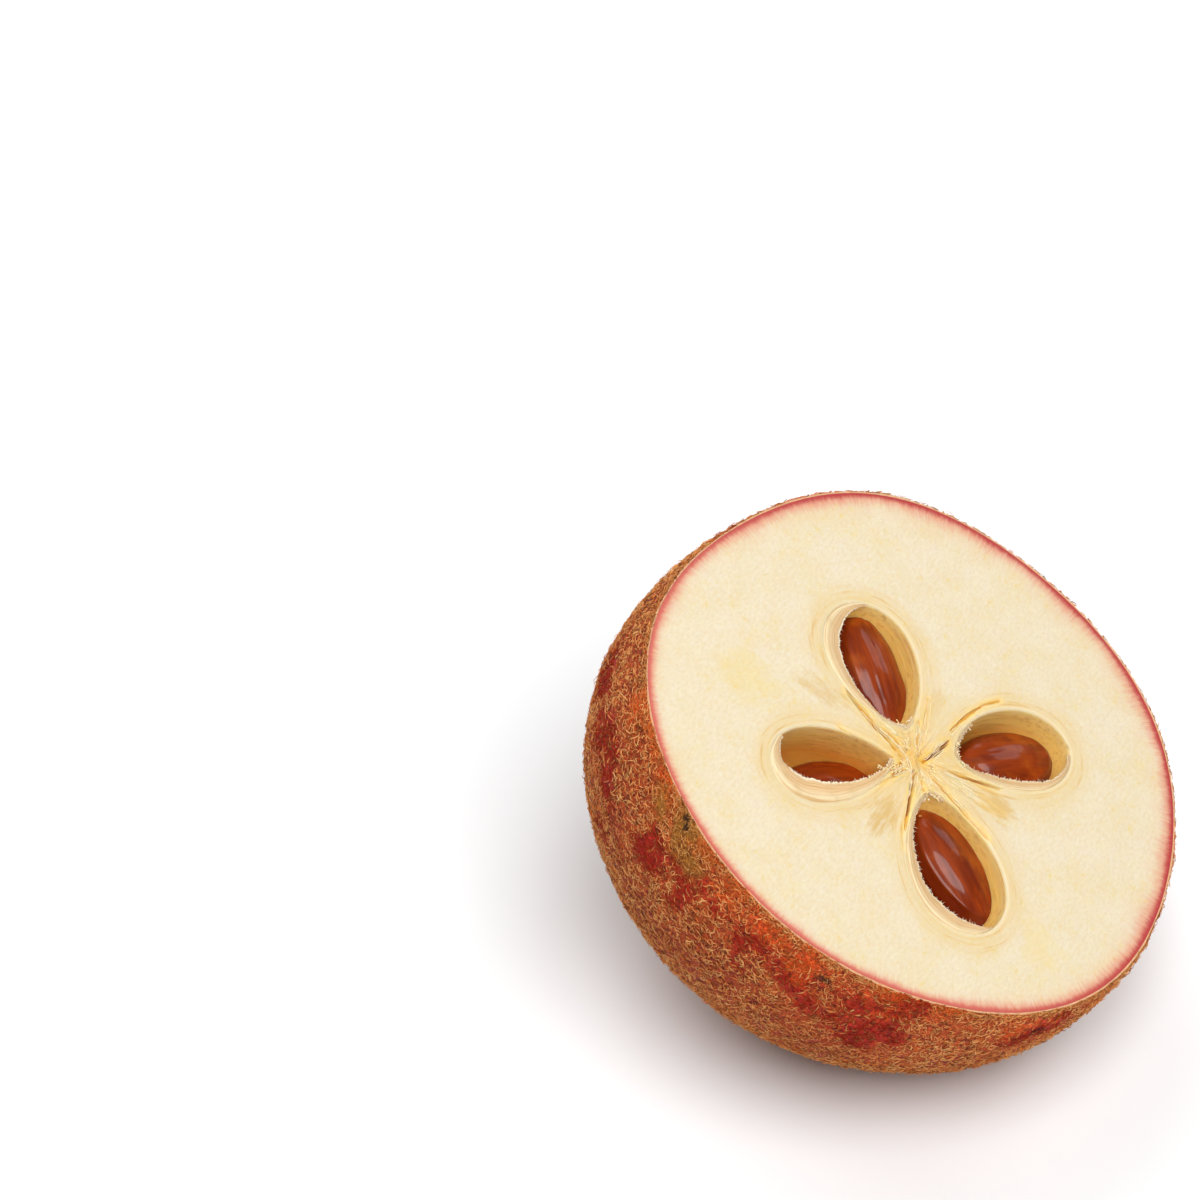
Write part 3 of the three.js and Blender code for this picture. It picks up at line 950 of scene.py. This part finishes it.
def shader_group(name, inputs, outputs):
    tree = bpy.data.node_groups.new(name, "ShaderNodeTree")
    for label, kind in inputs:
        tree.interface.new_socket(label, in_out="INPUT", socket_type=kind)
    for label, kind in outputs:
        tree.interface.new_socket(label, in_out="OUTPUT", socket_type=kind)
    return tree, Shader(tree), tree.nodes.new("NodeGroupInput"), tree.nodes.new("NodeGroupOutput")


def finish(name, **settings):
    """A new material and its Principled shader, with plain settings on its own sockets."""
    made = bpy.data.materials.new(name)
    made.use_nodes = True
    shader = Shader(made.node_tree)
    coat = made.node_tree.nodes["Principled BSDF"]
    for label, value in settings.items():
        coat.inputs[label.replace("_", " ")].default_value = value
    return made, shader, coat


FLOAT, VECTOR = "NodeSocketFloat", "NodeSocketVector"


WAVER = 4.5  # how far a patch's outline strays, in its radii


def blotch_group():
    """A soft patch round one place, with a ragged edge from noise."""
    tree, shader, given, put = shader_group(
        "Ragged patch",
        [("Vector", VECTOR), ("Centre", VECTOR), ("Radius", FLOAT), ("Ragged", FLOAT)],
        [("Mask", FLOAT)])
    vector, centre, radius, ragged = (given.outputs[number] for number in range(4))
    waver = shader.node("ShaderNodeTexNoise", {"Vector": vector, "Scale": 130, "Detail": 2})
    middle = shader.vector_math("SUBTRACT", waver.outputs["Color"], (0.5, 0.5, 0.5))
    pull = shader.vector_math("SCALE", middle, shader.times(radius, WAVER), "Scale")
    moved = shader.vector_math("ADD", vector, pull)
    apart = shader.vector_math("DISTANCE", moved, centre).outputs["Value"]
    share = shader.math("DIVIDE", apart, radius)
    rough = shader.noise(vector, 260, 4)
    wander = shader.times(shader.math("SUBTRACT", rough, 0.5), ragged)
    mask = shader.rescale(shader.math("ADD", share, wander), 1.6, 0.3)
    shader.give(put.inputs[0], mask)
    return tree


# ---- Blush on the skin: kind, bearing, depth and radius of each patch, mm ----
BLUSH = [
    ("crimson", 160, 7.5, 3.0), ("crimson", 164, 10.5, 3.2), ("crimson", 155, 9.6, 2.8),
    ("crimson", 167, 4.0, 2.8), ("crimson", 178, 4.0, 4.6), ("crimson", -171, 4.4, 3.8),
    ("crimson", -163, 8.0, 4.4), ("crimson", -153, 7.6, 5.4), ("crimson", -148, 3.6, 4.6),
    ("crimson", -151, 11.5, 4.2), ("crimson", -120, 5.6, 4.7), ("crimson", 132, 11.0, 4.5),
    ("crimson", 140, 15.0, 4.0), ("crimson", 118, 13.0, 5.0), ("crimson", -95, 12.0, 6.0),
    ("crimson", -60, 9.0, 7.0), ("crimson", -35, 20.0, 8.0), ("crimson", 15, 10.0, 8.0),
    ("crimson", 45, 22.0, 9.0), ("crimson", 85, 12.0, 7.0), ("crimson", -5, 33.0, 8.0),
    ("orange", 130, 0.4, 2.6), ("orange", 139, 0.8, 2.4), ("orange", 161, 0.4, 1.8),
    ("orange", 169, 1.0, 2.8), ("orange", 179, 0.8, 2.8), ("orange", -171, 1.4, 3.0),
    ("orange", -152, 1.2, 4.2), ("orange", -140, 1.4, 3.6), ("orange", -125, 1.0, 4.0),
    ("orange", 148, 1.4, 2.4), ("orange", -65, 3.0, 7.0), ("orange", 5, 3.0, 8.0),
    ("orange", 60, 5.0, 8.0), ("orange", -30, 12.0, 6.0), ("orange", 100, 25.0, 8.0),
    ("olive", 157, 2.2, 3.4), ("olive", 161, 5.0, 2.6), ("olive", 151, 4.0, 2.4),
    ("olive", 30, 14.0, 7.0), ("olive", -80, 20.0, 8.0), ("olive", -15, 6.0, 5.0),
    ("dark", -166, 3.6, 0.9), ("dark", 155, 0.7, 0.55), ("dark", 156, 1.7, 0.45), ("dark", 25, 8.0, 1.1),
    ("dark", 1.7, 0.4, 0.7), ("dark", 4.5, 0.4, 0.5), ("dark", -82, 0.5, 0.8),
    ("dark", -75, 7.0, 1.0), ("dark", 75, 17.0, 1.2), ("dark", -40, 27.0, 1.2), ("dark", -119, 4.8, 0.7),
]


def skin_place(bearing, depth):
    """A place on the skin, in the frame's metres."""
    a = math.radians(bearing)
    r = float(rim_radius(a, depth))
    return SETTLED @ Vector((r * math.cos(a), r * math.sin(a), -depth))


def blush_group(blotch):
    """Where the skin is crimson, orange, olive or dark."""
    tree, shader, given, put = shader_group(
        "Skin blush", [("Vector", VECTOR)],
        [("Crimson", FLOAT), ("Orange", FLOAT), ("Olive", FLOAT), ("Dark", FLOAT)])
    vector = given.outputs[0]
    for output, kind in enumerate(("crimson", "orange", "olive", "dark")):
        mask = None
        for name, bearing, depth, radius in BLUSH:
            if name != kind:
                continue
            patch = shader.group(blotch, Vector=vector, Centre=skin_place(bearing, depth),
                                 Radius=radius * MM, Ragged=1.5).outputs[0]
            mask = patch if mask is None else shader.math("MAXIMUM", mask, patch)
        shader.give(put.inputs[output], mask)
    return tree


def skin_finish(blush):
    made, shader, coat = finish("russet skin", Roughness=0.7, Specular_IOR_Level=0.2)
    place = shader.place()
    masks = shader.group(blush, Vector=place).outputs
    mottle = shader.noise(place, 900, 4, 0.7)
    broad = shader.noise(place, 90, 3)
    curls = None
    for scale in (900, 1300, 1900):
        wave = shader.math("ABSOLUTE", shader.math("SUBTRACT", shader.noise(place, scale, 1), 0.5))
        line = shader.rescale(wave, 0.035, 0.008)
        curls = line if curls is None else shader.math("MAXIMUM", curls, line)
    base = shader.blend(shader.rescale(broad, 0.35, 0.65), colour(174, 74, 32), colour(152, 56, 26))
    base = shader.blend(shader.rescale(mottle, 0.45, 0.72, 0, 0.6), base, colour(110, 36, 16))
    base = shader.blend(shader.times(masks[0], 0.9), base, colour(166, 24, 16))
    base = shader.blend(shader.times(masks[1], 0.8), base, colour(206, 78, 24))
    base = shader.blend(shader.times(masks[2], 0.85), base, colour(150, 100, 34))
    base = shader.blend(shader.times(curls, 0.8), base, (2.1, 2.3, 2.2, 1), "MULTIPLY")
    speckle = shader.times(shader.rescale(mottle, 0.52, 0.66), 0.7)
    base = shader.blend(speckle, base, colour(96, 20, 12))
    base = shader.blend(masks[3], base, colour(40, 32, 26))
    cut = shader.rescale(shader.value_of("deep_mm"), 0.14, 0.03)
    base = shader.blend(cut, base, colour(236, 186, 140))
    shader.give(coat.inputs["Base Color"], base)
    height = shader.math("ADD", mottle, shader.times(curls, 0.6))
    shader.give(coat.inputs["Normal"], shader.bump(height, 0.7, 0.0004))
    return made


def fuzz_finish(blush):
    made, shader, coat = finish("curled fuzz", Roughness=0.7, Specular_IOR_Level=0.05)
    place = shader.place()
    masks = shader.group(blush, Vector=place).outputs
    tint = shader.value_of("tint")
    whim = shader.value_of("whim")
    tip = shader.value_of("tip")
    base = shader.blend(tint, colour(230, 122, 54), colour(252, 198, 126))
    broad = shader.noise(place, 120, 3)
    base = shader.blend(shader.rescale(broad, 0.45, 0.72, 0, 0.45), base, colour(204, 96, 52))
    red = shader.blend(whim, colour(194, 46, 28), colour(126, 14, 10))
    for mask, share, hue in ((masks[0], 0.95, red), (masks[1], 0.7, colour(226, 104, 38)),
                             (masks[2], 0.6, colour(206, 150, 72)), (masks[3], 0.95, colour(64, 50, 40))):
        over = shader.math("SUBTRACT", mask, shader.times(whim, 1.1))
        base = shader.blend(shader.times(shader.rescale(over, -0.3, 0.15), share), base, hue)
    base = shader.blend(shader.rescale(tip, 0.0, 0.5, 0.35, 0.0), base, colour(140, 48, 20))
    bare = shader.math("SUBTRACT", 0.5, shader.math("MAXIMUM", masks[0], masks[1]), clamp=True)
    base = shader.blend(shader.times(shader.value_of("rim"), bare), base, colour(182, 118, 62))
    shader.give(coat.inputs["Base Color"], base)
    return made


def streak_group():
    """Fine streaks that run out from the core, from the place on the face measured from it."""
    tree, shader, given, put = shader_group(
        "Radial streaks", [("Vector", VECTOR), ("Fineness", FLOAT)],
        [("Mask", FLOAT), ("Distance", FLOAT)])
    vector, fineness = given.outputs[0], given.outputs[1]
    x, y, _ = shader.parts(vector)
    distance = shader.vector_math("LENGTH", vector, (0, 0, 0)).outputs["Value"]
    bearing = shader.math("ARCTAN2", y, x)
    round_about = shader.join(shader.math("COSINE", bearing), shader.math("SINE", bearing),
                              shader.times(distance, 0.02))
    mask = shader.noise(round_about, fineness, 4, 0.6)
    shader.give(put.inputs[0], mask)
    shader.give(put.inputs[1], distance)
    return tree


def stain_group(streaks):
    """An ochre smear that points away from the core: its bearing, distance, length and spread."""
    tree, shader, given, put = shader_group(
        "Core smear",
        [("Vector", VECTOR), ("Centre", VECTOR), ("Length", FLOAT), ("Width", FLOAT), ("Turn", FLOAT)],
        [("Mask", FLOAT)])
    vector, centre, length, width, turn = (given.outputs[number] for number in range(5))
    shifted = shader.vector_math("SUBTRACT", vector, centre)
    spun = shader.node("ShaderNodeVectorRotate", {"Vector": shifted, "Angle": turn}, rotation_type="Z_AXIS")
    x, y, _ = shader.parts(spun)
    along, across = shader.math("DIVIDE", x, length), shader.math("DIVIDE", y, width)
    reach = shader.math("ADD", shader.times(along, along), shader.times(across, across))
    texture = shader.group(streaks, Vector=vector, Fineness=14.0).outputs[0]
    ragged = shader.math("ADD", reach, shader.rescale(texture, 0.3, 0.7, 0.5, -0.35))
    shader.give(put.inputs[0], shader.rescale(ragged, 1.0, 0.0))
    return tree


# Smears on the face: bearing and distance of the middle, length, width, strength, colour
OCHRE, YELLOW = (232, 190, 106), (250, 226, 150)
SMEARS = [
    (-174, 12.2, 4.6, 2.6, 0.8, OCHRE), (-77, 13.0, 4.6, 2.9, 0.75, OCHRE),
    (101, 16.5, 5.6, 2.4, 0.5, OCHRE), (16, 10.0, 4.2, 1.5, 0.3, OCHRE),
    (-110, 31.0, 5.5, 4.0, 0.4, YELLOW), (112, 27.0, 7.0, 5.0, 0.4, YELLOW),
]


def flesh_finish(streaks, stain):
    made, shader, coat = finish("moist cream flesh", Roughness=0.45, Subsurface_Weight=0.5,
                                Subsurface_Radius=(1.0, 0.72, 0.25), Subsurface_Scale=0.0014,
                                Specular_IOR_Level=0.3)
    face = shader.value_of("face_mm", "Vector")
    grain = shader.value_of("grain", "Vector")
    edge = shader.value_of("edge_mm")
    deep = shader.value_of("deep_mm")
    to_skin = shader.value_of("to_skin_mm")
    crease = shader.value_of("stain")
    radial = shader.group(streaks, Vector=face, Fineness=16.0)
    streak, distance = radial.outputs

    cloud = shader.noise(face, 0.14, 4, 0.6)
    fleck = shader.noise(face, 0.8, 4, 0.75)
    pore = shader.noise(face, 1.7, 4, 0.7, stretch=(0.75, 1.3, 1.0))
    base = shader.blend(shader.rescale(cloud, 0.35, 0.68), seen(250, 236, 207), seen(248, 231, 193))
    base = shader.blend(shader.rescale(pore, 0.45, 0.68, 0, 0.5), base, seen(241, 218, 168))
    base = shader.blend(shader.rescale(pore, 0.47, 0.3, 0, 0.55), base, seen(255, 247, 224))
    clouded = shader.rescale(cloud, 0.44, 0.6, 0.1, 0.9)
    base = shader.blend(shader.times(shader.rescale(fleck, 0.52, 0.7), clouded), base, seen(248, 222, 146))

    # halo and rim of the hollows, and fine amber lines that run along them
    face_x, face_y, _ = shader.parts(face)
    round_edge = shader.join(edge, shader.times(face_x, 0.07), shader.times(face_y, 0.07))
    lines = shader.noise(round_edge, 1.9, 4, 0.6)
    halo = shader.rescale(edge, 4.6, 0.5, 0, 0.75)
    base = shader.blend(shader.times(halo, shader.rescale(lines, 0.3, 0.6, 0.35, 1.0)),
                        base, seen(246, 216, 152))
    near_rim = shader.times(shader.rescale(edge, 3.4, 1.6), shader.rescale(edge, 0.3, 0.9))
    line = shader.times(near_rim, shader.rescale(lines, 0.56, 0.68, 0, 0.7))
    base = shader.blend(line, base, seen(234, 184, 98))
    rim = shader.rescale(edge, 0.8, 0.15, 0, 0.6)
    base = shader.blend(rim, base, seen(252, 236, 200))

    for bearing, out, length, width, strength, hue in SMEARS:
        a = math.radians(bearing)
        smear = shader.group(stain, Vector=face, Centre=(out * math.cos(a), out * math.sin(a), 0),
                             Length=length, Width=width, Turn=-a).outputs[0]
        base = shader.blend(shader.times(smear, strength), base, seen(*hue))

    # streaks and amber at the core
    close = shader.rescale(distance, 15.0, 2.5, 0, 0.8)
    base = shader.blend(shader.times(close, shader.rescale(streak, 0.34, 0.62, 0.25, 1.0)),
                        base, seen(248, 212, 138))
    torn = shader.rescale(streak, 0.36, 0.6, 0.9, 0.2)
    base = shader.blend(shader.times(shader.rescale(distance, 4.4, 0.8), torn), base, seen(246, 190, 80))
    base = shader.blend(shader.times(crease, shader.rescale(streak, 0.3, 0.6, 1.0, 0.45)),
                        base, colour(253, 210, 90))
    # the amber stain, painted darker down in the bottom of each crease as painted shade
    crease_bottom_shade = shader.rescale(shader.value_of("beside"), 0.75, 0.2)
    stained = shader.rescale(crease, 0.25, 0.9, 0.1, 0.9)
    base = shader.blend(shader.times(crease_bottom_shade, stained), base, colour(216, 154, 32))

    # walls of the hollows, with painted light at their tops and painted shade lower down, and the slits,
    # with painted shade inside
    wall_streak = shader.noise(grain, 1.0, 4, 0.6, stretch=(0.12, 1.6, 1.6))
    in_wall = shader.times(shader.rescale(edge, 0.45, 0.1), shader.rescale(deep, 0.1, 0.5))
    # the wall is painted pale and bright at the top as painted light, for light through the flesh, and
    # darker orange further down as painted shade
    wall_with_painted_light = shader.blend(shader.rescale(deep, 0.1, 2.4), colour(255, 228, 152), colour(255, 210, 116))
    wall_with_painted_light = shader.blend(shader.rescale(deep, 2.0, 6.0), wall_with_painted_light, colour(236, 158, 62))
    # painted shade: the second hollow's wall, turned away from the light, is painted a little darker brown
    number = shader.parts(grain)[2]
    second_hollow_shade = shader.times(shader.rescale(number, 20, 24), shader.rescale(number, 46, 44))
    wall_with_painted_light = shader.blend(shader.times(second_hollow_shade, 0.15), wall_with_painted_light, colour(196, 132, 64))
    wall_with_painted_light = shader.blend(shader.rescale(wall_streak, 0.45, 0.75, 0, 0.45), wall_with_painted_light, seen(214, 152, 74))
    base = shader.blend(in_wall, base, wall_with_painted_light)
    # painted shade: the slits turn orange-brown further down inside the narrow cuts
    slit = shader.times(shader.rescale(edge, 0.2, 0.6), shader.rescale(deep, 0.1, 0.9))
    base = shader.blend(slit, base, seen(226, 138, 36))

    # the blush under the skin, broad to the right of the view and narrow to the left
    side = shader.math("ADD", shader.times(face_x, 0.95), shader.times(face_y, -0.25))
    girth = shader.value_of("girth_mm", "Vector")
    tuft = shader.rescale(shader.noise(girth, 2.2, 4, 0.7), 0.25, 0.75, -0.16, 0.16)
    drift = shader.rescale(shader.noise(girth, 0.12, 3), 0.3, 0.7, 0.8, 1.25)
    inward = shader.times(shader.math("SUBTRACT", to_skin, 0.3), drift)
    broad = shader.rescale(side, -34, 20, 0.0, 1.0)
    edge_hue = shader.blend(broad, seen(230, 112, 98), seen(200, 52, 58))
    for narrow, wide, strength, hue in ((2.6, 5.2, 0.5, seen(248, 208, 168)),
                                        (1.5, 2.7, 0.8, seen(238, 146, 122)),
                                        (0.7, 1.15, 0.92, edge_hue)):
        reach = shader.rescale(broad, 0, 1, narrow, wide, smooth=False)
        share = shader.math("ADD", shader.math("DIVIDE", inward, reach), tuft)
        base = shader.blend(shader.rescale(share, 1.0, 0.12, 0, strength), base, hue)
    shader.give(coat.inputs["Base Color"], base)

    fine = shader.math("ADD", shader.times(fleck, 0.5), shader.times(pore, 0.5))
    scored = shader.blend(in_wall, fine, wall_streak)
    shader.give(coat.inputs["Normal"], shader.bump(scored, 0.35, 0.0003))
    return made


def lining_finish():
    made, shader, coat = finish("parchment lining", Roughness=0.42, Subsurface_Weight=0.2,
                                Subsurface_Radius=(1.0, 0.7, 0.4), Subsurface_Scale=0.0008)
    across = shader.value_of("across")
    grain = shader.value_of("grain", "Vector")
    fibre = shader.noise(grain, 1.0, 4, 0.65, stretch=(0.12, 4.6, 1.0))
    blot = shader.noise(grain, 0.5, 3)
    base = shader.blend(shader.rescale(across, 0.1, 0.6), colour(242, 220, 178), colour(232, 194, 146))
    base = shader.blend(shader.rescale(fibre, 0.44, 0.66, 0, 0.7), base, seen(222, 166, 88))
    base = shader.blend(shader.rescale(blot, 0.5, 0.75, 0, 0.4), base, seen(226, 186, 120))
    base = shader.blend(shader.rescale(across, 0.84, 0.97), base, colour(254, 238, 206))
    shader.give(coat.inputs["Base Color"], base)
    shader.give(coat.inputs["Normal"], shader.bump(fibre, 0.9, 0.0002))
    return made


def pith_finish():
    made, shader, coat = finish("torn pith", Roughness=0.5, Subsurface_Weight=0.3,
                                Subsurface_Radius=(1.0, 0.6, 0.28), Subsurface_Scale=0.001)
    warm = shader.value_of("warmth")
    fleck = shader.noise(shader.place(), 2500, 3)
    base = shader.blend(warm, colour(255, 238, 190), colour(255, 204, 110))
    base = shader.blend(shader.rescale(warm, 0.65, 0.95), base, seen(226, 126, 22))
    base = shader.blend(shader.rescale(fleck, 0.45, 0.7, 0, 0.4), base, seen(255, 236, 190))
    shader.give(coat.inputs["Base Color"], base)
    return made


def seed_finish():
    made, shader, coat = finish("glossy seed coat", Roughness=0.38, Coat_Weight=0.42, Coat_Roughness=0.1,
                                Specular_IOR_Level=0.15)
    grain = shader.value_of("grain", "Vector")
    along = shader.value_of("along")
    streak = shader.noise(grain, 1.0, 4, 0.6, stretch=(0.1, 0.8, 0.8))
    cloud = shader.noise(grain, 0.22, 3)
    base = shader.blend(shader.rescale(streak, 0.3, 0.75), colour(146, 54, 4), colour(104, 30, 2))
    base = shader.blend(shader.rescale(cloud, 0.48, 0.75, 0, 0.6), base, colour(176, 80, 6))
    # painted shade: each seed is darker towards its edge, where its sides turn away from the light
    margin = shader.rescale(shader.value_of("margin"), 0.72, 0.9, 0, 0.75)
    base = shader.blend(margin, base, colour(98, 24, 4))
    base = shader.blend(shader.rescale(along, 0.14, 0.0, 0, 0.8), base, colour(196, 100, 20))
    shader.give(coat.inputs["Base Color"], base)
    fine = shader.noise(grain, 3.0, 3, 0.6, stretch=(0.2, 1.0, 1.0))
    height = shader.math("ADD", streak, shader.times(fine, 0.35))
    shader.give(coat.inputs["Normal"], shader.bump(height, 0.25, 0.0003))
    return made


# ---------------------------------------------------------------- the pieces
blotch = blotch_group()
blush = blush_group(blotch)
streaks = streak_group()
stain = stain_group(streaks)
FLESH = flesh_finish(streaks, stain)
SKIN = skin_finish(blush)
HAIR = fuzz_finish(blush)
LINING = lining_finish()
SEED = seed_finish()
PITH = pith_finish()

flesh = settle(cut_flesh(), FLESH)
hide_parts("fruit_half")
skin = skin_surface()
for row in FUZZ:
    settle(fuzz_piece(skin, *row), HAIR, smooth=180)
settle(thickened(skin), SKIN)
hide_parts("fruit_half")
for index, hollow in enumerate(HOLLOWS):
    lining = settle(torn_lining(index, hollow), LINING)
    seed = settle(plump_seed(index, hollow), SEED)
    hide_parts(f"seed_{index + 1}")
settle(lining_frays(), LINING, smooth=180)
settle(core_fibres(), PITH, smooth=180)


# ---------------------------------------------------------------- floor, light and camera
def pale_floor():
    fresh()
    bpy.ops.mesh.primitive_plane_add(size=6, location=(0, 0, 0))
    floor = added("pale_floor")
    made, _, coat = finish("white paper", Roughness=0.9, Specular_IOR_Level=0.1)
    coat.inputs["Base Color"].default_value = (0.92, 0.935, 0.94, 1)
    floor.data.materials.append(made)
    floor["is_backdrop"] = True


LIGHT_DISTANCE = 0.9
LIGHT_AIM = Vector((0, 0, 0.03))


def soft_light(name, bearing, height, width, watts):
    """A round soft light. Its bearing is degrees round from the camera's side, to the right."""
    turn = math.radians(CAMERA_AZIMUTH - 90 + bearing)
    rise = math.radians(height)
    away = Vector((math.cos(rise) * math.cos(turn), math.cos(rise) * math.sin(turn), math.sin(rise)))
    lamp = bpy.data.lights.new(name, "AREA")
    lamp.shape = "DISK"
    lamp.size = width
    lamp.energy = watts
    held = bpy.data.objects.new(name, lamp)
    held.location = LIGHT_AIM + away * LIGHT_DISTANCE
    held.rotation_euler = away.to_track_quat("Z", "Y").to_euler()
    bpy.context.scene.collection.objects.link(held)


def studio():
    world = bpy.data.worlds.new("white studio")
    world.use_nodes = True
    world.node_tree.nodes["Background"].inputs[0].default_value = (1, 1, 1, 1)
    world.node_tree.nodes["Background"].inputs[1].default_value = 0.1
    bpy.context.scene.world = world
    soft_light("front soft light", 18, 60, 0.8, 9.4)
    soft_light("back soft light", 215, 42, 1.0, 4.6)
    soft_light("side soft light", 125, 38, 0.4, 0.8)
    bpy.context.scene.view_settings.view_transform = "Standard"


def view_camera():
    lens = bpy.data.cameras.new("view")
    lens.lens = CAMERA_LENS
    lens.sensor_width = 36
    held = bpy.data.objects.new("view", lens)
    held.location = CAMERA_AT
    held.rotation_euler = (math.radians(90 - CAMERA_ELEVATION), 0, math.radians(CAMERA_AZIMUTH))
    bpy.context.scene.collection.objects.link(held)
    bpy.context.scene.camera = held


pale_floor()
studio()
view_camera()

boxes = {"cad": cad_box, "visual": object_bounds()}
{name: [list(corner) for corner in box] for name, box in boxes.items()}
